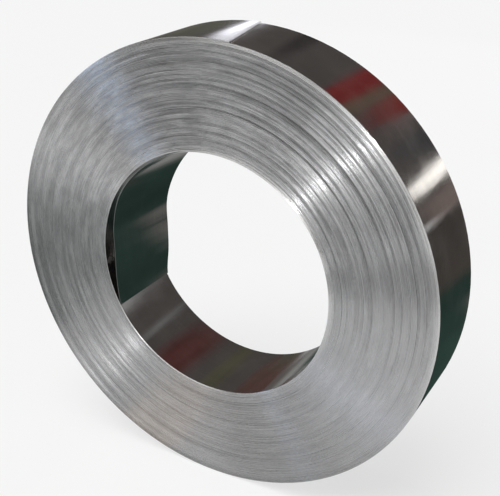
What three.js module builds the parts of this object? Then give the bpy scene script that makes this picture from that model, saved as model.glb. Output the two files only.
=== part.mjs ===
// Slit-strip steel coil: one long strip wound on itself into a flat roll that stands on its rim.
// Units are millimetres and +Z is up. The winding axis runs along Y, the front end faces -Y,
// and the origin is on the floor under the middle of the coil.
// Angles are degrees in the plane of the ends, seen from the front, counter-clockwise from +X.
// From its inner end the strip winds outwards clockwise, so it travels towards falling angles.
import * as THREE from "three";
import { mergeVertices } from "three/addons/utils/BufferGeometryUtils.js";

// The strip and how it is wound. The bore radius is that of the inner end's tip.
const STRIP_WIDTH = 104;
const STRIP_THICKNESS = 1.2;
const BORE_RADIUS = 150;
const FULL_TURNS = 104;
const INNER_TIP_ANGLE = 208;

// The outer end is sheared off at a slant: the angle of its cut at the front edge, and how far
// the back edge stops short of that
const OUTER_END_ANGLE = 84;
const OUTER_END_SLANT = 4;

// The ends of the roll: groups of turns lie a little in front of or behind one another, and
// the strip crosses from one group's place to the next at a different angle each time
const TURNS_PER_GROUP = 7;
const SIDE_WANDER = 0.8;
const SHIFT_ADVANCE = 126;
const CROSSING_ADVANCE = 100;

// The free inner end springs off the bore wall between its root and its tip. It is twisted,
// so its back edge stands off further than its front edge.
const TAIL_ANGLE = 104;
const TAIL_STAND_OFF = [
  { share: 0, front: 0, back: 0 },
  { share: 0.2, front: 2.2, back: 6.5 },
  { share: 0.42, front: 4, back: 13 },
  { share: 0.58, front: 9.5, back: 16.5 },
  { share: 0.73, front: 14, back: 21 },
  { share: 0.87, front: 9.5, back: 16.5 },
  { share: 1, front: 0.3, back: 0.3 },
];

// Flat facets round the roll
const FACET_ANGLE = 4;
const FULL_CIRCLE = 360;

const STEEL = { color: 0x8f9294, roughness: 0.3, metalness: 1 };

const tailRootAngle = INNER_TIP_ANGLE - TAIL_ANGLE;

// Angle travelled clockwise from one angle to another, from 0 up to a full circle
function clockwise(from, to) {
  return (((from - to) % FULL_CIRCLE) + FULL_CIRCLE) % FULL_CIRCLE;
}

// Radius of the strip's inner face, some whole turns and part of a turn after the tip
function windingRadius(turns, partTurn) {
  return BORE_RADIUS + STRIP_THICKNESS * (turns + partTurn / FULL_CIRCLE);
}

// The wall steps in where the free end leaves it
const wallStepRadius = windingRadius(1, TAIL_ANGLE);

// The bore wall is the second turn where the free end hangs in front of it, else the first
function wallRadius(angle, pastWallStep) {
  const travelled = clockwise(INNER_TIP_ANGLE, angle);
  const behindTail = !pastWallStep && travelled <= TAIL_ANGLE;
  return windingRadius(behindTail ? 1 : 0, travelled);
}

// Where the outer end is cut on one side of the roll. The side is -1 at the front and +1 at
// the back. The rim steps in there.
function outerEndAngle(side) {
  return side < 0 ? OUTER_END_ANGLE : OUTER_END_ANGLE + OUTER_END_SLANT;
}

function rimStepRadius(side) {
  return windingRadius(FULL_TURNS, clockwise(INNER_TIP_ANGLE, outerEndAngle(side)));
}

// The rim grows by one strip thickness over the last turn, up to the outer end
function rimRadius(side, angle, pastRimStep) {
  const toOuterEnd = clockwise(angle, outerEndAngle(side)) || (pastRimStep ? FULL_CIRCLE : 0);
  return rimStepRadius(side) + STRIP_THICKNESS * (1 - toOuterEnd / FULL_CIRCLE);
}

// Where each group of turns ends. From its crossing, the line between two groups follows the
// winding for one turn, and so comes back one strip thickness further out.
const groupEnds = [];
for (let turns = TURNS_PER_GROUP; turns <= FULL_TURNS - 2; turns += TURNS_PER_GROUP) {
  const crossingAngle = OUTER_END_ANGLE - CROSSING_ADVANCE * groupEnds.length;
  groupEnds.push({ turns, crossingAngle });
}

function groupEndRadius({ turns, crossingAngle }, angle) {
  const travelled = clockwise(INNER_TIP_ANGLE, crossingAngle) + clockwise(crossingAngle, angle);
  return windingRadius(turns, travelled);
}

// Y of one end of a group of turns. Both ends shift the same way, because the strip keeps
// its width.
function groupY(group, side) {
  const shift = SIDE_WANDER * Math.sin(THREE.MathUtils.degToRad(SHIFT_ADVANCE * group));
  return side * (STRIP_WIDTH / 2) + shift;
}

// One end of the roll at one angle, as points from the bore to the rim
function endProfile(side, { frontAngle, backAngle, pastWallStep, pastRimStep }) {
  const angle = side < 0 ? frontAngle : backAngle;
  const points = [];
  const add = (radius, group) => points.push({ angle, radius, y: groupY(group, side) });
  add(wallRadius(angle, pastWallStep), 0);
  add(wallStepRadius, 0);
  groupEnds.forEach((groupEnd, group) => {
    add(groupEndRadius(groupEnd, angle), group);
    add(groupEndRadius(groupEnd, angle), group + 1);
  });
  add(rimStepRadius(side), groupEnds.length);
  add(rimRadius(side, angle, pastRimStep), groupEnds.length);
  return points;
}

// Places round the roll, clockwise, with two where the wall or the rim steps. A place has one
// angle on the front and one on the back, which differ along the outer end's slanted cut.
function rollPlaces() {
  const cutFront = outerEndAngle(-1);
  const cutBack = outerEndAngle(1);
  const angles = new Set([INNER_TIP_ANGLE]);
  for (let angle = 0; angle < FULL_CIRCLE; angle += FACET_ANGLE) angles.add(angle);
  const places = [
    { frontAngle: cutBack, backAngle: cutBack },
    { frontAngle: cutFront, backAngle: cutBack },
    { frontAngle: cutFront, backAngle: cutBack, pastRimStep: true },
    { frontAngle: cutFront, backAngle: cutFront, pastRimStep: true },
    { frontAngle: tailRootAngle, backAngle: tailRootAngle },
    { frontAngle: tailRootAngle, backAngle: tailRootAngle, pastWallStep: true },
  ];
  for (const angle of angles) {
    const atCut = angle >= cutFront && angle <= cutBack;
    if (!atCut && angle !== tailRootAngle) places.push({ frontAngle: angle, backAngle: angle });
  }
  return places.sort((a, b) => b.frontAngle + b.backAngle - a.frontAngle - a.backAngle);
}

const places = rollPlaces();
const rollSections = places.map((place) => [
  ...endProfile(-1, place),
  ...endProfile(1, place).reverse(),
]);

// The coil stands on its lowest facet
const centreHeight = Math.max(...rollSections.flat().map((point) => -heightOverAxis(point)));

function heightOverAxis({ angle, radius }) {
  return radius * Math.sin(THREE.MathUtils.degToRad(angle));
}

function toSpace(point) {
  const x = point.radius * Math.cos(THREE.MathUtils.degToRad(point.angle));
  return [x, point.y, centreHeight + heightOverAxis(point)];
}

// The free inner end: four corners at each angle, from the tip clockwise to the root
const standOff = new THREE.CubicInterpolant(
  TAIL_STAND_OFF.map(({ share }) => share),
  TAIL_STAND_OFF.flatMap(({ front, back }) => [front, back]),
  2,
);
const tailSections = places
  .filter(({ pastWallStep }) => !pastWallStep)
  .map(({ frontAngle }) => frontAngle)
  .filter((angle) => clockwise(INNER_TIP_ANGLE, angle) <= TAIL_ANGLE)
  .map((angle) => {
    const [front, back] = standOff.evaluate(clockwise(angle, tailRootAngle) / TAIL_ANGLE);
    const outerFront = wallRadius(angle) - front;
    const outerBack = wallRadius(angle) - back;
    return [
      { angle, radius: outerFront - STRIP_THICKNESS, y: groupY(0, -1) },
      { angle, radius: outerFront, y: groupY(0, -1) },
      { angle, radius: outerBack, y: groupY(0, 1) },
      { angle, radius: outerBack - STRIP_THICKNESS, y: groupY(0, 1) },
    ];
  });

// Faces between one section and the next one clockwise, as triples of points. The last of a
// section's sides runs along the bore, from its back to its front.
function skin(section, next, sides = section.length) {
  const triangles = [];
  for (let side = 0; side < sides; side += 1) {
    const following = (side + 1) % section.length;
    triangles.push([section[side], next[following], section[following]]);
    triangles.push([section[side], next[side], next[following]]);
  }
  return triangles;
}

const triangles = [];
rollSections.forEach((section, index) => {
  const next = (index + 1) % rollSections.length;
  // The tail grows out of the wall's step, so no face closes the step
  const sides = places[next].pastWallStep ? section.length - 1 : section.length;
  triangles.push(...skin(section, rollSections[next], sides));
});
tailSections.slice(1).forEach((section, index) => triangles.push(...skin(tailSections[index], section)));
const [tip] = tailSections;
triangles.push([tip[0], tip[1], tip[2]], [tip[0], tip[2], tip[3]]);

// One closed skin: points in the same place become one, and faces left with no area go
function closedGeometry() {
  const soup = new THREE.BufferGeometry();
  const positions = triangles.flat().flatMap(toSpace);
  soup.setAttribute("position", new THREE.Float32BufferAttribute(positions, 3));
  const geometry = mergeVertices(soup);
  const corners = geometry.index.array;
  const kept = [];
  for (let first = 0; first < corners.length; first += 3) {
    const [a, b, c] = corners.slice(first, first + 3);
    if (a !== b && b !== c && c !== a) kept.push(a, b, c);
  }
  geometry.setIndex(kept);
  geometry.computeVertexNormals();
  return geometry;
}

const coil = new THREE.Mesh(closedGeometry(), new THREE.MeshStandardMaterial(STEEL));
coil.name = "strip_coil";

const part = new THREE.Group();
part.add(coil);

export default part;
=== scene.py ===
import math

import bpy
import numpy as np
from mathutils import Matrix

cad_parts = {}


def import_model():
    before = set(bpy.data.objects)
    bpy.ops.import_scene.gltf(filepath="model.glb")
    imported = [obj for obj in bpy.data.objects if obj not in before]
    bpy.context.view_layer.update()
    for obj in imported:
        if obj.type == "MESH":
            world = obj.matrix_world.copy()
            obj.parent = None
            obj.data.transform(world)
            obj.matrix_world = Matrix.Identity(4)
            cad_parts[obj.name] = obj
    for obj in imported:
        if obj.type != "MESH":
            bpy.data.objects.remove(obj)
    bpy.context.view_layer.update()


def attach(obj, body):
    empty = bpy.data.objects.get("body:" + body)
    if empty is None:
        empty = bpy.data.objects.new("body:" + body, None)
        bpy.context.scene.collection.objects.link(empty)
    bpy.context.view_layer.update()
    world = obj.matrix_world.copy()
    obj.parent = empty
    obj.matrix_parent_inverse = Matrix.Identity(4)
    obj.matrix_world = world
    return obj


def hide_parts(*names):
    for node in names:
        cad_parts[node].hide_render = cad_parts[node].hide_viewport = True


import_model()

# A slit-strip steel coil that stands on its rim. Lengths are metres and angles are degrees.
# Angles round the coil are seen from the front (-Y), counter-clockwise from +X. The strip
# winds outwards clockwise from its inner tip, so it travels towards falling angles.

MM = 0.001
TURN = 360.0

# The strip and how it is wound. It is modelled as a section every few degrees.
STRIP_WIDTH = 104 * MM
STRIP_PITCH = 1.2 * MM
TURN_GAP = 0.04 * MM
BORE_RADIUS = 150 * MM
FULL_TURNS = 104
INNER_TIP_ANGLE = 208.0
SECTION_ANGLE = 3.0

# How the turns lie beside one another on the ends of the roll: groups of turns, single turns
# and short waves. Periods are in turns, and so is the stretch over which the strip crosses
# from one group's place to the next.
TURNS_PER_GROUP = 7
GROUP_WANDER = 0.18 * MM
GROUP_ADVANCE = 126.0
CROSSING_TURNS = 0.4
PROUD_TURN = 0.22 * MM
PROUD_PERIOD = 0.24
EDGE_WAVE = 0.06 * MM
EDGE_WAVE_PERIOD = 0.08

# The slit edge is a little crowned, and leans inwards or outwards by amounts that change
# along the strip and from turn to turn. The crown is how far both corners of the edge lie
# behind its middle. A lean is how much further behind the outer corner lies, and the inner
# corner lies as much less. Most edges lean a little and a few lean far.
EDGE_CROWN = 0.29 * MM
EDGE_LEAN = 0.37 * MM
LEAN_TURNS = 1.3
LEANS_PER_TURN = 5
# Leans also come and go in steady waves of so many turns, which wander a little
WAVE_TURNS = 7.2
WAVE_SHARE = 0.5
WAVE_WANDER = 1.2
LEAN_CONTRAST = 1.9
LEAN_SPARSENESS = 1.8
# The leans are strongest at LEAN_ANGLE, where single turns lean. Opposite it, groups of turns
# lean by the share FAR_LEAN of that. A quarter turn away, where one gives way to the other, the
# share LEAST_LEAN is left.
LEAN_ANGLE = 62.0
LEAN_FALLOFF = 1.4
FAR_LEAN = 0.5
FAR_FALLOFF = 2.5
FAR_LEAN_TURNS = 3.6
FAR_LEANS_PER_TURN = 5
LEAST_LEAN = 0.07
NEAR_STEEPNESS = 2.0
# The corners of the roll are worn, over about so many turns at the bore and at the rim. At the
# bore the edges lean outwards where leans are strongest, and opposite (FAR), over fewer turns,
# they lean inwards. The free inner end and the wall behind it are as they were slit, and the
# wear sets in over so many degrees past the root of that end.
WORN_LEAN_BORE = 0.30 * MM
WORN_LEAN_FAR = 0.50 * MM
WORN_LEAN_RIM = 0.16 * MM
WORN_TURNS_BORE = 6.0
WORN_TURNS_FAR = 1.6
WORN_TURNS_RIM = 4.0
WEAR_ONSET_ANGLE = 20.0
# Seeds of the noises that make all this uneven
PROUD_SEED = 11
EDGE_WAVE_SEED = 12
LEAN_SEED = 21
WAVE_SEED = 22
FAR_LEAN_SEED = 23

# The free inner end: shares of its angle from root to tip, and how far its front and back
# edges stand off the bore wall there, in millimetres
TAIL_ANGLE = 104.0
TAIL_SHARE = (0, 0.2, 0.42, 0.58, 0.73, 0.87, 1)
TAIL_FRONT = (0, 2.2, 4, 9.5, 14, 9.5, 0.3)
TAIL_BACK = (0, 6.5, 13, 16.5, 21, 16.5, 0.3)

# The outer end: the angle of its slanted cut at the front and the back edge. It springs up a
# little before the cut.
OUTER_END_ANGLE = 84.0
OUTER_END_SLANT = 4.0
OUTER_LIFT = 0.5 * MM
OUTER_LIFT_ANGLE = 7.0

# The slit edges: their darkest and brightest streaks, the painted shade on the edges of the free
# inner end, the painted highlight on the corners of the roll, and the depth of the fine scratches
EDGE_DARK = (0.33, 0.332, 0.335, 1)
EDGE_LIGHT = (0.465, 0.467, 0.47, 1)
INNER_END_SHADE = (0.15, 0.16, 0.155, 1)
EDGE_HIGHLIGHT = (0.74, 0.74, 0.73, 1)
EDGE_SCRATCHES = 0.13 * MM
# How far the painted highlight reaches from the rim and from the bore on the upper right, and from
# the bore on the lower left, where it covers only the bore's very corner
RIM_HIGHLIGHT = 8 * MM
BORE_HIGHLIGHT = 9 * MM
CORNER_HIGHLIGHT = 2.6 * MM
# How strongly single turns and scuffs show, where smudges count as 1
TURN_MARKS = 0.3
SCUFF_MARKS = 0.35
# How far the noise on one end of the roll lies from the noise on the other, so that they differ
ENDS_APART = 31.0
# The rolled faces, and the depth of their shallow waves
FACE_DARK = (0.44, 0.44, 0.44, 1)
FACE_LIGHT = (0.56, 0.555, 0.55, 1)
FACE_WAVES = 0.08 * MM

# The stage. The even surroundings give this much light and look this bright.
WORLD_LIGHT = 0.25
BACKDROP = 0.93
# The floor's colour, half its size, and how far to white it looks
FLOOR_COLOUR = (0.86, 0.86, 0.86, 1)
FLOOR_HALF = 60.0
FLOOR_GLOW = 0.65
# The dark cloth tent, and its opening behind the coil in azimuths and elevations
TENT_COLOUR = (0.10, 0.09, 0.085)
TENT_RADIUS = 12.0
TENT_OPEN_WEST, TENT_OPEN_EAST, TENT_OPEN_TOP = -20, 16, 15
# How unevenly the cards glow, and how far away those behind the coil stand
MOTTLE = 0.2
BACKDROP_DISTANCE = 6.0

# How far the strip travels from its inner tip to its outer end
LAST_ANGLE = TURN * FULL_TURNS + (INNER_TIP_ANGLE - OUTER_END_ANGLE) % TURN


def rim_radius(angle):
    """Outside of the roll at an angle, on the last turn."""
    to_outer_end = (angle - OUTER_END_ANGLE) % TURN
    return BORE_RADIUS + STRIP_PITCH * ((LAST_ANGLE - to_outer_end) / TURN + 1)


# The coil stands on its rim
AXIS_HEIGHT = rim_radius(270.0)
MIDDLE = (0, 0, AXIS_HEIGHT)

# The camera: its place, how far it looks down and how far it is turned, and its lens and the
# width of its sensor in millimetres
CAMERA_PLACE = (0.506, -0.8524, AXIS_HEIGHT + 0.4712)
CAMERA_DOWN = 24.627
CAMERA_TURNED = 29.497
CAMERA_LENS = 65.71
CAMERA_SENSOR = 36.0


# ---------------------------------------------------------------- shape of the strip

def ease(share):
    """A share from 0 to 1 that starts and ends level."""
    return share * share * (3 - 2 * share)


def smooth_noise(seed, period, places):
    """Seeded noise from -1 to 1 that turns smoothly from one knot to the next."""
    knots = np.random.default_rng(seed).uniform(-1, 1, int(places.max() / period) + 3)
    position = places / period
    low = position.astype(int)
    blend = ease(position - low)
    return knots[low] * (1 - blend) + knots[low + 1] * blend


def cubic(xs, ys, at):
    """Cubic curve through points, with the slope between neighbours at each point."""
    xs, ys = np.array(xs, float), np.array(ys, float)
    slopes = np.empty(len(xs))
    slopes[1:-1] = (ys[2:] - ys[:-2]) / (xs[2:] - xs[:-2])
    slopes[0] = (ys[1] - ys[0]) / (xs[1] - xs[0])
    slopes[-1] = (ys[-1] - ys[-2]) / (xs[-1] - xs[-2])
    low = np.clip(np.searchsorted(xs, at) - 1, 0, len(xs) - 2)
    span = xs[low + 1] - xs[low]
    t = (at - xs[low]) / span
    return (
        ys[low] * (1 + 2 * t) * (1 - t) ** 2
        + ys[low + 1] * t * t * (3 - 2 * t)
        + span * t * (1 - t) * (slopes[low] * (1 - t) - slopes[low + 1] * t)
    )


def side_shift(turns):
    """How far the strip lies behind its middle place, along its length in turns."""
    group = turns / TURNS_PER_GROUP
    whole = np.floor(group)
    crossing = ease(np.clip((group - whole) * TURNS_PER_GROUP / CROSSING_TURNS, 0, 1))
    here = np.sin(np.radians(GROUP_ADVANCE * whole))
    before = np.sin(np.radians(GROUP_ADVANCE * np.maximum(whole - 1, 0)))
    shift = GROUP_WANDER * (before + (here - before) * crossing)
    # Most turns lie flush and a few stand well forward or back
    shift += PROUD_TURN * smooth_noise(PROUD_SEED, PROUD_PERIOD, turns) ** 3
    return shift + EDGE_WAVE * smooth_noise(EDGE_WAVE_SEED, EDGE_WAVE_PERIOD, turns)


def wound_noise(seed, over, around, turns):
    """Seeded noise from -1 to 1 on the ends of the roll: its knots are some turns apart across
    the winding, and a number of them stand round each turn."""
    knots = np.random.default_rng(seed).uniform(-1, 1, (int(turns.max() / over) + 3, around))
    row, column = turns / over, (turns % 1) * around
    low_row, low_column = row.astype(int), column.astype(int)
    down, right = ease(row - low_row), ease(column - low_column)
    # Past the last knot of a turn comes the first knot, of this row again
    here, following = low_column % around, (low_column + 1) % around
    upper, lower = (
        knots[line, here] * (1 - right) + knots[line, following] * right
        for line in (low_row, low_row + 1)
    )
    return upper * (1 - down) + lower * down


def edge_leans(travelled, turns):
    """How far the slit edge leans outwards at each place along the strip."""
    # This is 1 where the leans are strongest and -1 opposite
    toward_lean = np.cos(np.radians(INNER_TIP_ANGLE - travelled - LEAN_ANGLE))
    near = np.clip(0.5 + NEAR_STEEPNESS * toward_lean, 0, 1)
    nearness = near * np.abs(toward_lean) ** LEAN_FALLOFF
    nearness += (1 - near) * FAR_LEAN * np.abs(toward_lean) ** FAR_FALLOFF
    lean = EDGE_LEAN * (LEAST_LEAN + (1 - LEAST_LEAN) * nearness)
    level = wound_noise(LEAN_SEED, LEAN_TURNS, LEANS_PER_TURN, turns)
    wander = WAVE_WANDER * wound_noise(WAVE_SEED, WAVE_TURNS, LEANS_PER_TURN, turns)
    level += WAVE_SHARE * np.sin(math.tau * turns / WAVE_TURNS + wander)
    far_level = wound_noise(FAR_LEAN_SEED, FAR_LEAN_TURNS, FAR_LEANS_PER_TURN, turns)
    level = near * level + (1 - near) * far_level
    lean *= np.clip(np.sign(level) * np.abs(level * LEAN_CONTRAST) ** LEAN_SPARSENESS, -1, 1)

    past_tail = np.clip((travelled % TURN - TAIL_ANGLE) / WEAR_ONSET_ANGLE, 0, 1)
    worn_lean = np.where(toward_lean > 0, WORN_LEAN_BORE, WORN_LEAN_FAR)
    worn_turns = np.where(toward_lean > 0, WORN_TURNS_BORE, WORN_TURNS_FAR)
    lean += worn_lean * toward_lean * past_tail * np.exp(-(turns / worn_turns) ** 2)
    lean += WORN_LEAN_RIM * np.exp(-((turns[-1] - turns) / WORN_TURNS_RIM) ** 2)
    return lean


def strip_sections():
    """Points of the strip's section at each place along it, as (places, 6, 3), and turns."""
    count = int(round(LAST_ANGLE / SECTION_ANGLE))
    travelled = np.linspace(0, LAST_ANGLE, count + 1)
    turns = travelled / TURN
    inner = BORE_RADIUS + STRIP_PITCH * turns

    # The tail hangs in front of the second turn, one pitch and its stand-off inside it
    tail_share = np.clip(1 - travelled / TAIL_ANGLE, 0, 1)
    front_off = cubic(TAIL_SHARE, TAIL_FRONT, tail_share) * MM
    back_off = cubic(TAIL_SHARE, TAIL_BACK, tail_share) * MM
    to_end = np.clip(1 - (LAST_ANGLE - travelled) / OUTER_LIFT_ANGLE, 0, 1)
    lift = to_end ** 2 * OUTER_LIFT
    # The cut's slant pulls the back edge's last places back along the strip
    slant = to_end * OUTER_END_SLANT

    lean = edge_leans(travelled, turns)
    shift = side_shift(turns)
    thickness = STRIP_PITCH - TURN_GAP
    half = STRIP_WIDTH / 2
    # Depth into the strip, front (-1) or back (+1) edge, and how far it lies in from there
    outline = (
        (0, -1, EDGE_CROWN - lean),
        (thickness / 2, -1, 0),
        (thickness, -1, EDGE_CROWN + lean),
        (thickness, 1, EDGE_CROWN + lean),
        (thickness / 2, 1, 0),
        (0, 1, EDGE_CROWN - lean),
    )
    points = np.empty((count + 1, len(outline), 3))
    for corner, (depth, side, inset) in enumerate(outline):
        off = front_off if side < 0 else back_off
        angle = INNER_TIP_ANGLE - travelled + (slant if side > 0 else 0)
        radius = inner + depth - off + lift
        points[:, corner, 0] = radius * np.cos(np.radians(angle))
        points[:, corner, 1] = side * (half - inset) + shift
        points[:, corner, 2] = radius * np.sin(np.radians(angle)) + AXIS_HEIGHT
    return points, turns


def add_object(name, data):
    """A new object in the scene."""
    thing = bpy.data.objects.new(name, data)
    bpy.context.scene.collection.objects.link(thing)
    return thing


def strip_object():
    """The whole strip as one closed mesh, from its inner tip to its outer end."""
    points, turns = strip_sections()
    places, corners, _ = points.shape
    section = np.arange(corners)
    following = (section + 1) % corners
    starts = np.arange(places - 1)[:, None] * corners
    quads = np.stack(
        [starts + section, starts + corners + section,
         starts + corners + following, starts + following], axis=-1)
    faces = quads.reshape(-1, 4).tolist()
    last = (places - 1) * corners
    faces.append(list(range(corners)))
    faces.append([last + corner for corner in reversed(range(corners))])

    mesh = bpy.data.meshes.new("strip")
    mesh.from_pydata(points.reshape(-1, 3).tolist(), [], faces)

    # Material 0 is the rolled faces, 1 the slit edges and cut ends. Round a section come the
    # two halves of the front edge, the outer face, the two of the back edge and the inner face.
    on_edge = np.tile([1, 1, 0, 1, 1, 0], places - 1)
    mesh.polygons.foreach_set("material_index", np.append(on_edge, [1, 1]).astype(np.int32))
    mesh.polygons.foreach_set("use_smooth", np.ones(len(faces), bool))

    # The corners between rolled faces and edges are crisp, and so are the two cut ends. Corners
    # 1 and 4 of a section are the middles of the two edges, which are smooth.
    edge_points = np.empty(len(mesh.edges) * 2, np.int32)
    mesh.edges.foreach_get("vertices", edge_points)
    ends = edge_points.reshape(-1, 2)
    place, corner = ends // corners, ends % corners
    along = (corner[:, 0] == corner[:, 1]) & ~np.isin(corner[:, 0], (1, 4))
    at_end = (place[:, 0] == place[:, 1]) & np.isin(place[:, 0], (0, places - 1))
    sharp = mesh.attributes.new("sharp_edge", "BOOLEAN", "EDGE")
    sharp.data.foreach_set("value", along | at_end)

    # UV: turns along the strip, and the way across it from its front edge to its back edge
    uv = mesh.uv_layers.new(name="strip")
    loop_points = np.empty(len(mesh.loops), np.int32)
    mesh.loops.foreach_get("vertex_index", loop_points)
    across = np.array([0.02, 0.0, 0.02, 0.98, 1.0, 0.98])
    place, corner = loop_points // corners, loop_points % corners
    coordinates = np.stack([turns[place], across[corner]], axis=-1)
    uv.data.foreach_set("uv", coordinates.astype(np.float32).ravel())
    mesh.update()
    return add_object("steel_strip", mesh)


# ---------------------------------------------------------------- materials

class Nodes:
    """A material's node tree, with short calls to add and link nodes."""

    def __init__(self, name):
        self.material = bpy.data.materials.new(name)
        self.material.use_nodes = True
        self.tree = self.material.node_tree
        self.shader = self.tree.nodes["Principled BSDF"]

    def add(self, kind, settings=None, **inputs):
        node = self.tree.nodes.new(kind)
        for key, value in (settings or {}).items():
            setattr(node, key, value)
        for key, value in inputs.items():
            self.feed(node.inputs[key.replace("_", " ")], value)
        return node

    def feed(self, socket, value):
        if isinstance(value, bpy.types.NodeSocket):
            self.tree.links.new(value, socket)
        else:
            socket.default_value = value

    def math(self, operation, first, second=0.0):
        node = self.add("ShaderNodeMath", {"operation": operation})
        self.feed(node.inputs[0], first)
        self.feed(node.inputs[1], second)
        return node.outputs[0]

    def vector(self, operation, first, second=(0, 0, 0), scale=1.0, output="Vector"):
        node = self.add("ShaderNodeVectorMath", {"operation": operation})
        self.feed(node.inputs[0], first)
        if operation == "SCALE":
            self.feed(node.inputs["Scale"], scale)
        elif operation in ("ADD", "SUBTRACT", "MULTIPLY", "DOT_PRODUCT"):
            self.feed(node.inputs[1], second)
        return node.outputs[output]

    def ramp(self, value, low, high, to_low, to_high, kind="LINEAR"):
        """Takes a value from low to high to one from to_low to to_high, and stops there."""
        node = self.add("ShaderNodeMapRange", {"interpolation_type": kind}, Value=value,
                        From_Min=low, From_Max=high, To_Min=to_low, To_Max=to_high)
        return node.outputs["Result"]

    def mix(self, factor, first, second):
        node = self.add("ShaderNodeMix", {"data_type": "RGBA"})
        self.feed(node.inputs["Factor"], factor)
        self.feed(node.inputs["A"], first)
        self.feed(node.inputs["B"], second)
        return node.outputs["Result"]

    def bump(self, depth, height):
        node = self.add("ShaderNodeBump", Strength=1.0, Distance=depth, Height=height)
        self.feed(self.shader.inputs["Normal"], node.outputs["Normal"])

    def glow(self, colour, strength=1.0):
        node = self.add("ShaderNodeEmission", Color=colour, Strength=strength)
        return node.outputs["Emission"]

    def blend(self, factor, first, second):
        node = self.add("ShaderNodeMixShader", Fac=factor)
        self.feed(node.inputs[1], first)
        self.feed(node.inputs[2], second)
        return node.outputs["Shader"]

    def surface(self, shader):
        """Shows another shader than the one the material came with."""
        self.feed(self.tree.nodes["Material Output"].inputs["Surface"], shader)


def slit_edge_material():
    """Ground steel with streaks, scuffs and scratches along the strip, a painted highlight on
    corners of the roll and painted shade on the free inner end.
    """
    n = Nodes("slit edge")
    uv = n.add("ShaderNodeUVMap", {"uv_map": "strip"})
    uv_parts = n.add("ShaderNodeSeparateXYZ", Vector=uv.outputs["UV"])
    turns, across = uv_parts.outputs["X"], uv_parts.outputs["Y"]

    # Place round the axis as a point on a unit circle, and radius
    place = n.add("ShaderNodeTexCoord").outputs["Object"]
    from_axis = n.vector("SUBTRACT", place, (0, 0, AXIS_HEIGHT))
    from_axis = n.vector("MULTIPLY", from_axis, (1, 0, 1))
    radius = n.vector("LENGTH", from_axis, output="Value")
    on_circle = n.vector("NORMALIZE", from_axis)

    def streaks(along, over, detail, offset):
        """Noise drawn out round the coil: features are 1/along radians long and 1/over metres
        wide across the turns. Another offset gives other streaks."""
        which_end = n.math("MULTIPLY", across, ENDS_APART)
        over_turns = n.math("ADD", n.math("MULTIPLY", radius, over), which_end)
        lift = n.add("ShaderNodeCombineXYZ", Y=n.math("ADD", over_turns, offset)).outputs["Vector"]
        where = n.vector("ADD", n.vector("SCALE", on_circle, scale=along), lift)
        noise = n.add("ShaderNodeTexNoise", Vector=where, Scale=1.0, Detail=detail, Roughness=0.6)
        return noise.outputs["Fac"]

    single = n.add("ShaderNodeTexNoise", {"noise_dimensions": "1D"}, W=turns, Scale=9.0,
                   Detail=2.0, Roughness=0.6).outputs["Fac"]
    scuffs = streaks(along=14.0, over=500.0, detail=3.0, offset=0.0)
    smudges = streaks(along=6.0, over=140.0, detail=4.0, offset=11.0)
    level = n.math("ADD", n.math("MULTIPLY", single, TURN_MARKS),
                   n.math("MULTIPLY", scuffs, SCUFF_MARKS))
    mean = (TURN_MARKS + SCUFF_MARKS + 1) / 2
    level = n.math("SUBTRACT", n.math("ADD", level, smudges), mean)
    # The marks lie mostly on the upper left of the ends
    upper_left = n.vector("DOT_PRODUCT", on_circle, (-0.34, 0, 0.94), output="Value")
    level = n.math("MULTIPLY", level, n.ramp(upper_left, -0.3, 0.7, 0.4, 1.5))
    colour = n.mix(n.ramp(level, -0.15, 0.15, 0, 1), EDGE_DARK, EDGE_LIGHT)
    # A highlight is painted on the corners of the roll on the upper right, and on the bore's very
    # corner on the lower left
    rim = rim_radius(0.0)
    at_rim = n.ramp(radius, rim - RIM_HIGHLIGHT, rim, 0, 1)
    at_bore = n.ramp(radius, BORE_RADIUS + BORE_HIGHLIGHT, BORE_RADIUS, 0, 1)
    at_corner = n.ramp(radius, BORE_RADIUS + CORNER_HIGHLIGHT, BORE_RADIUS + STRIP_PITCH, 0, 1)
    upper_right = n.vector("DOT_PRODUCT", on_circle, (0.64, 0, 0.77), output="Value")
    highlight_right = n.math("MULTIPLY", n.math("MAXIMUM", at_rim, at_bore),
                          n.ramp(upper_right, 0.1, 0.9, 0.1, 1))
    highlight_left = n.math("MULTIPLY", at_corner, n.ramp(upper_right, -0.2, -0.8, 0, 1))
    colour = n.mix(n.math("MAXIMUM", highlight_right, highlight_left), colour, EDGE_HIGHLIGHT)
    # Shade is painted on the edges of the free inner end, which are made dark up to its root
    past_root = n.ramp(turns, 0.27, 0.30, 0, 1)
    colour = n.mix(past_root, INNER_END_SHADE, colour)
    n.feed(n.shader.inputs["Base Color"], colour)
    polish = streaks(along=3.0, over=500.0, detail=2.0, offset=7.0)
    n.feed(n.shader.inputs["Roughness"], n.ramp(polish, 0.35, 0.65, 0.24, 0.28))
    n.shader.inputs["Metallic"].default_value = 1.0
    n.shader.inputs["Anisotropic"].default_value = 1.0
    n.shader.inputs["Anisotropic Rotation"].default_value = 0.25
    tangent = n.add("ShaderNodeTangent", {"direction_type": "RADIAL", "axis": "Y"})
    n.feed(n.shader.inputs["Tangent"], tangent.outputs["Tangent"])
    n.bump(EDGE_SCRATCHES, streaks(along=4.0, over=520.0, detail=2.0, offset=3.0))
    return n.material


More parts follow.
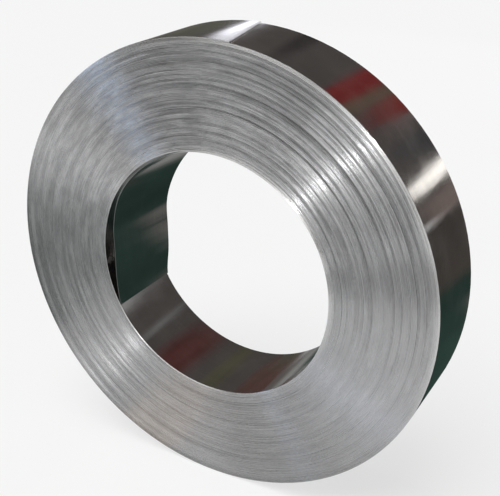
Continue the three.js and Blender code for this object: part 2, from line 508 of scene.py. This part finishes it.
def rolled_face_material():
    """Bright rolled steel, nearly a mirror, with rolling lines and faint stains."""
    n = Nodes("rolled face")
    uv = n.add("ShaderNodeUVMap", {"uv_map": "strip"})
    uv_parts = n.add("ShaderNodeSeparateXYZ", Vector=uv.outputs["UV"])
    turns, across = uv_parts.outputs["X"], uv_parts.outputs["Y"]

    def grain(along, over, detail, offset):
        """Noise on the strip: so many features in a turn, and across its width. Another offset
        gives another pattern."""
        where = n.add("ShaderNodeCombineXYZ", X=n.math("MULTIPLY", turns, along),
                      Y=n.math("MULTIPLY", across, over), Z=offset)
        noise = n.add("ShaderNodeTexNoise", Vector=where.outputs["Vector"], Scale=1.0,
                      Detail=detail, Roughness=0.55)
        return noise.outputs["Fac"]

    rolling_lines = grain(along=5.0, over=90.0, detail=3.0, offset=0.0)
    stains = grain(along=40.0, over=2.5, detail=3.0, offset=5.0)
    level = n.math("ADD", n.math("MULTIPLY", rolling_lines, 0.5), n.math("MULTIPLY", stains, 0.5))
    colour = n.mix(n.ramp(level, 0.36, 0.64, 0, 1), FACE_DARK, FACE_LIGHT)
    n.feed(n.shader.inputs["Base Color"], colour)
    n.feed(n.shader.inputs["Roughness"], n.ramp(stains, 0.3, 0.7, 0.09, 0.15))
    n.shader.inputs["Metallic"].default_value = 1.0
    # The strip is never quite flat along its length: shallow waves run across its width
    n.bump(FACE_WAVES, grain(along=110.0, over=0.8, detail=2.0, offset=9.0))
    return n.material


# ---------------------------------------------------------------- stage, light and camera

def toward(azimuth, elevation, distance):
    """A place seen from the middle of the coil: azimuth from +Y towards +X."""
    az, el = math.radians(azimuth), math.radians(elevation)
    return (
        distance * math.sin(az) * math.cos(el),
        distance * math.cos(az) * math.cos(el),
        AXIS_HEIGHT + distance * math.sin(el),
    )


def oblong(west, east, south, north):
    """Four corners on the floor."""
    return [(west, south), (east, south), (east, north), (west, north)]


def floor():
    """A pale floor. The camera and mirror reflections see it part of the way to white."""
    n = Nodes("pale floor")
    n.shader.inputs["Base Color"].default_value = FLOOR_COLOUR
    n.shader.inputs["Roughness"].default_value = 0.9
    n.shader.inputs["Specular IOR Level"].default_value = 0.1
    glow = n.glow((1, 1, 1, 1))
    path = n.add("ShaderNodeLightPath")
    seen = n.math("MAXIMUM", path.outputs["Is Camera Ray"], path.outputs["Is Glossy Ray"])
    seen = n.math("MAXIMUM", seen, path.outputs["Is Transmission Ray"])
    n.surface(n.blend(n.math("MULTIPLY", seen, FLOOR_GLOW), n.shader.outputs["BSDF"], glow))
    corners = oblong(-FLOOR_HALF, FLOOR_HALF, -FLOOR_HALF, FLOOR_HALF)
    mesh = bpy.data.meshes.new("floor")
    mesh.from_pydata([(x, y, 0) for x, y in corners], [], [(0, 1, 2, 3)])
    mesh.materials.append(n.material)
    add_object("floor", mesh)


def world():
    """Even light from all round. The camera and mirror reflections see it as a pale backdrop."""
    scene_world = bpy.data.worlds.new("studio")
    bpy.context.scene.world = scene_world
    scene_world.use_nodes = True
    tree = scene_world.node_tree
    background = tree.nodes["Background"]
    background.inputs["Color"].default_value = (1, 1, 1, 1)
    path = tree.nodes.new("ShaderNodeLightPath")
    seen = path.outputs["Is Camera Ray"]
    for ray in ("Is Glossy Ray", "Is Transmission Ray"):
        either = tree.nodes.new("ShaderNodeMath")
        either.operation = "MAXIMUM"
        tree.links.new(seen, either.inputs[0])
        tree.links.new(path.outputs[ray], either.inputs[1])
        seen = either.outputs[0]
    strength = tree.nodes.new("ShaderNodeMapRange")
    tree.links.new(seen, strength.inputs["Value"])
    strength.inputs["To Min"].default_value = WORLD_LIGHT
    strength.inputs["To Max"].default_value = BACKDROP
    tree.links.new(strength.outputs["Result"], background.inputs["Strength"])


def camera():
    data = bpy.data.cameras.new("camera")
    data.sensor_fit = "HORIZONTAL"
    data.sensor_width = CAMERA_SENSOR
    data.lens = CAMERA_LENS
    eye = add_object("camera", data)
    eye.location = CAMERA_PLACE
    eye.rotation_euler = (math.radians(90 - CAMERA_DOWN), 0, math.radians(CAMERA_TURNED))
    bpy.context.scene.camera = eye


def aim(thing, place, target):
    """Puts a lamp at a place and points it at a target."""
    thing.location = place
    direction = np.array(target, float) - np.array(place, float)
    yaw = math.atan2(-direction[0], direction[1])
    pitch = math.atan2(direction[2], math.hypot(direction[0], direction[1]))
    thing.rotation_euler = (math.pi / 2 + pitch, 0, yaw)


def area_light(name, place, width, height, glow, colour=(1, 1, 1), turned=0.0):
    """A rectangular lamp that faces the coil, turned about its own axis by some degrees. Its
    face glows at a radiance, where 1 is a white surface's. Only gloss shows its light."""
    lamp = bpy.data.lights.new(name, "AREA")
    lamp.shape = "RECTANGLE"
    lamp.size = width
    lamp.size_y = height
    lamp.energy = glow * math.pi * width * height
    lamp.color = colour
    light = add_object(name, lamp)
    light.visible_camera = False
    light.visible_diffuse = False
    aim(light, place, MIDDLE)
    light.rotation_euler.rotate_axis("Z", math.radians(turned))


def sun(name, place, angle, strength):
    """A broad lamp far away in the direction of a place, so many degrees across."""
    lamp = bpy.data.lights.new(name, "SUN")
    lamp.angle = math.radians(angle)
    lamp.energy = strength
    aim(add_object(name, lamp), place, (0, 0, 0))


def glossy_only(thing):
    """Shows a thing in mirror reflections and nowhere else."""
    thing.visible_camera = False
    thing.visible_diffuse = False
    thing.visible_shadow = False


def dark_tent():
    """Dark cloth round the studio that only mirror reflections show, with an opening behind
    the coil, low in the middle."""
    n = Nodes("dark tent")
    n.surface(n.glow((*TENT_COLOUR, 1)))
    azimuths = np.arange(-180, 181, 4)
    elevations = np.arange(-12, 91, 3)
    points = [toward(az, el, TENT_RADIUS) for az in azimuths for el in elevations]
    faces = []
    for column in range(len(azimuths) - 1):
        for row in range(len(elevations) - 1):
            behind = TENT_OPEN_WEST <= azimuths[column] < TENT_OPEN_EAST
            if behind and elevations[row] < TENT_OPEN_TOP:
                continue
            first = column * len(elevations) + row
            next_column = first + len(elevations)
            faces.append((first, next_column, next_column + 1, first + 1))
    mesh = bpy.data.meshes.new("dark tent")
    mesh.from_pydata(points, [], faces)
    mesh.materials.append(n.material)
    tent = add_object("dark tent", mesh)
    glossy_only(tent)


def reflected_card(name, corners, colour, soft, soft_ends=None):
    """A studio card with four corners that only mirror reflections show. Its colour is the
    light it gives off, where 1 is a white surface's. It fades out towards its edges, over the
    share soft of its width, and towards its ends, over the share soft_ends of its length."""
    n = Nodes(name)
    uv = n.add("ShaderNodeUVMap", {"uv_map": "card"})
    mottle = n.add("ShaderNodeTexNoise", Vector=uv.outputs["UV"], Scale=4.0, Detail=3.0)
    strength = n.ramp(mottle.outputs["Fac"], 0.3, 0.7, 1 - MOTTLE, 1 + MOTTLE)
    glow = n.glow((*colour, 1), strength)
    from_middle = n.vector("SUBTRACT", uv.outputs["UV"], (0.5, 0.5, 0))
    from_middle = n.add("ShaderNodeSeparateXYZ", Vector=n.vector("ABSOLUTE", from_middle))
    fade = 0.5 - soft
    fade_ends = 0.5 - (soft_ends or soft)
    across = n.ramp(from_middle.outputs["X"], fade, 0.5, 1, 0, "SMOOTHSTEP")
    along = n.ramp(from_middle.outputs["Y"], fade_ends, 0.5, 1, 0, "SMOOTHSTEP")
    clear = n.add("ShaderNodeBsdfTransparent")
    n.surface(n.blend(n.math("MULTIPLY", across, along), clear.outputs["BSDF"], glow))
    mesh = bpy.data.meshes.new(name)
    mesh.from_pydata(corners, [], [(0, 1, 2, 3)])
    mesh.uv_layers.new(name="card").data.foreach_set("uv", (0, 0, 1, 0, 1, 1, 0, 1))
    mesh.materials.append(n.material)
    card = add_object(name, mesh)
    glossy_only(card)


def panel(name, place, width, height, glow, soft=0.5):
    """A soft white panel that stands facing the coil."""
    place = np.array(place, float)
    facing = np.array(MIDDLE) - place
    facing /= np.linalg.norm(facing)
    sideways = np.cross(facing, (0, 0, 1))
    sideways /= np.linalg.norm(sideways)
    upright = np.cross(sideways, facing)
    corners = [place + x * width / 2 * sideways + y * height / 2 * upright
               for x, y in ((-1, -1), (1, -1), (1, 1), (-1, 1))]
    reflected_card(name, [corner.tolist() for corner in corners], (glow, glow, glow), soft)


def backdrop_card(name, outline, colour, soft=0.2, distance=BACKDROP_DISTANCE):
    """A card that stands round the coil, with its corners at azimuths and elevations."""
    reflected_card(name, [toward(az, el, distance) for az, el in outline], colour, soft)


def mat(name, corners, colour, soft=0.2, soft_ends=None, height=0.002):
    """A card that lies on the floor. Those that overlap lie at different heights."""
    reflected_card(name, [(x, y, height) for x, y in corners], colour, soft, soft_ends)


def lamps_and_panels():
    """Light on the coil, and the soft panels that it mirrors."""
    sun("ceiling", (-0.15, -0.35, 0.92), angle=50, strength=2.2)
    area_light("flash", (*CAMERA_PLACE[:2], AXIS_HEIGHT + 0.56), 0.08, 0.08, glow=30)
    area_light("low flash", (0.02, -1.36, 0.37), 0.09, 0.45, glow=4, turned=-42)
    panel("flash glow", (0.42, -0.93, 0.93), 1.0, 0.65, 2.3)
    panel("low glow", (0.04, -1.40, 0.37), 1.2, 0.5, 1.5)
    panel("softbox left", (-0.88, -2.4, 1.65), 2.7, 2.4, 1.1, soft=0.35)
    panel("softbox right", (0.55, -2.53, 1.0), 2.7, 1.8, 1.8, soft=0.35)
    backdrop_card("left window", [(226, 5), (231, -1), (255, 19), (250, 25)],
                  (1.4, 1.9, 2.7), distance=2.6)
    panel("softbox behind", toward(-1.0, 8.0, 5.0), 2.6, 1.2, 2.6)
    panel("softbox behind right", toward(54.0, 12.0, 4.5), 2.2, 2.0, 1.3)
    panel("softbox behind left", toward(-62.0, 12.0, 4.5), 2.2, 2.0, 1.8)
    panel("side softbox right", toward(72.0, 26.0, 4.0), 2.0, 2.6, 1.1)
    panel("side softbox left", toward(-72.0, 26.0, 4.0), 2.0, 2.6, 1.1)
    panel("ceiling panel", toward(0.0, 80.0, 4.0), 3.0, 3.0, 0.9)
    area_light("strip light right", toward(25.3, 7.5, 6.0), 0.9, 0.40, glow=2.2,
               colour=(1.0, 0.96, 0.9))


def mats_behind():
    """Mats on the far side of the coil, which the slit edges and the bore's floor mirror."""
    mat("mat behind left", oblong(-1.1, 0.2, 0.2, 0.95), (0.28, 0.28, 0.27))
    mat("dark mat behind", oblong(-0.52, -0.06, 0.07, 0.36), (0.05, 0.055, 0.05), height=0.005)
    mat("mat behind", oblong(-0.27, 0.95, -0.05, 1.0), (0.03, 0.055, 0.046), soft=0.1,
        height=0.004)
    mat("faint mat behind", [(0.14, 0.50), (0.24, 0.36), (0.48, 0.58), (0.38, 0.74)],
        (0.19, 0.18, 0.17), soft=0.4, height=0.006)
    mat("far mat right", [(0.30, 0.80), (0.85, 0.50), (3.7, 5.5), (0.9, 6.3)],
        (0.075, 0.065, 0.057), soft_ends=0.04, height=0.005)
    mat("pale mat behind", [(-0.28, 0.85), (0.40, 0.95), (1.0, 2.8), (-1.5, 2.8)],
        (1.35, 1.35, 1.35), soft=0.15, height=0.006)
    mat("far mat left", [(-0.35, 0.75), (-0.75, 0.45), (-5.0, 4.7), (-3.5, 5.8)],
        (0.15, 0.135, 0.125), soft_ends=0.04, height=0.005)


def cards_behind():
    """Cards behind the coil and over it, which the rim and the bore mirror."""
    backdrop_card("low wall", [(23.5, -9), (31, -9), (31, 4.8), (23.5, 4.8)],
                  (0.26, 0.20, 0.18))
    backdrop_card("dark wall", [(30, -9), (50, -9), (50, 6), (30, 6)],
                  (0.05, 0.06, 0.055), distance=6.1)
    backdrop_card("dark gap", [(20.5, 10), (25.5, 10), (25.5, 20), (20.5, 20)],
                  (0.07, 0.07, 0.072), soft=0.3)
    backdrop_card("red card right", [(11.8, 14), (18, 14), (18, 25), (11.8, 28)],
                  (0.25, 0.04, 0.035))
    backdrop_card("red card left", [(1.4, 20), (10.0, 20), (10.0, 33), (1.4, 33)],
                  (0.23, 0.035, 0.035))
    backdrop_card("brown card", [(8.8, 20), (13, 20), (13, 32), (8.8, 32)],
                  (0.15, 0.12, 0.085), distance=6.1)
    backdrop_card("thin card", [(17.4, 12), (18.9, 12), (18.9, 24), (17.4, 24)],
                  (0.42, 0.38, 0.36), soft=0.5)
    backdrop_card("dark card left", [(-12, 17), (-20, 17), (-20, 31), (-12, 31)],
                  (0.045, 0.04, 0.04), soft=0.4)
    backdrop_card("dark card high left", [(-29, -8), (-41, -8), (-41, 13), (-29, 13)],
                  (0.11, 0.11, 0.09))
    backdrop_card("pale streak left", [(-34.5, 14.1), (-26.0, 8.9), (-23.4, 13.0), (-31.9, 18.2)],
                  (2.4, 2.4, 2.6), soft=0.35, distance=5.9)
    backdrop_card("red wall left", [(-37.5, -6), (-47, -6), (-45, 21), (-37.5, 21)],
                  (0.115, 0.065, 0.055), distance=6.1)
    backdrop_card("red high card", [(26, 36), (-17, 36), (-17, 50), (26, 50)],
                  (0.115, 0.042, 0.038), soft=0.35)
    backdrop_card("green high card", [(-20, 26), (-37, 26), (-37, 42), (-20, 42)],
                  (0.11, 0.105, 0.07), soft=0.35)
    backdrop_card("pale high card", [(29, 27), (34.5, 27), (34.5, 38), (29, 38)],
                  (0.30, 0.30, 0.30), soft=0.5)


def mats_in_front():
    """Mats in front of the coil and beside it, which its front end mirrors."""
    mat("mat left", oblong(-1.45, -0.38, -0.74, 0.15), (0.15, 0.175, 0.165), soft=0.08)
    mat("pale mat left", [(-2.8, -1.35), (-0.95, -1.35), (-0.60, -0.76), (-2.8, -0.76)],
        (1.35, 1.35, 1.35), soft=0.15)
    mat("mat front", [(-0.70, -0.85), (-0.34, -0.85), (-0.34, -14), (-9.1, -14)],
        (0.08, 0.08, 0.08), soft=0.12, soft_ends=0.03, height=0.004)
    mat("mat front right", oblong(-0.32, 1.6, -8.0, -0.46), (0.42, 0.42, 0.42), soft=0.05)
    mat("mat middle", [(-0.10, -0.70), (-0.42, -0.70), (-0.68, -1.45), (-0.10, -1.45)],
        (1.15, 1.15, 1.15), soft=0.15, height=0.006)
    mat("pale mat right", [(0.0, -1.0), (0.50, -1.05), (2.5, -3.8), (0.1, -6.0)],
        (1.4, 1.4, 1.4), soft=0.15, height=0.006)
    mat("mat near", oblong(-0.06, 0.20, -0.34, -0.07), (0.74, 0.73, 0.71),
        soft=0.35, soft_ends=0.2)
    mat("warm mat", oblong(-0.20, -0.055, -0.32, -0.02), (1.2, 1.07, 0.96),
        soft=0.3, soft_ends=0.15, height=0.004)
    mat("cool mat", [(-0.331, -0.416), (-0.309, -0.472), (0.291, -0.220), (0.269, -0.164)],
        (1.5, 1.55, 1.7), soft=0.15, soft_ends=0.5, height=0.006)
    mat("pale mat near", oblong(-0.37, -0.23, -0.50, -0.02), (1.25, 1.25, 1.25),
        soft=0.35, soft_ends=0.2)


strip = strip_object()
strip.data.materials.append(rolled_face_material())
strip.data.materials.append(slit_edge_material())
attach(strip, "root")
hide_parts("strip_coil")

floor()
world()
camera()
dark_tent()
lamps_and_panels()
mats_behind()
cards_behind()
mats_in_front()

bpy.context.scene.view_settings.view_transform = "Standard"
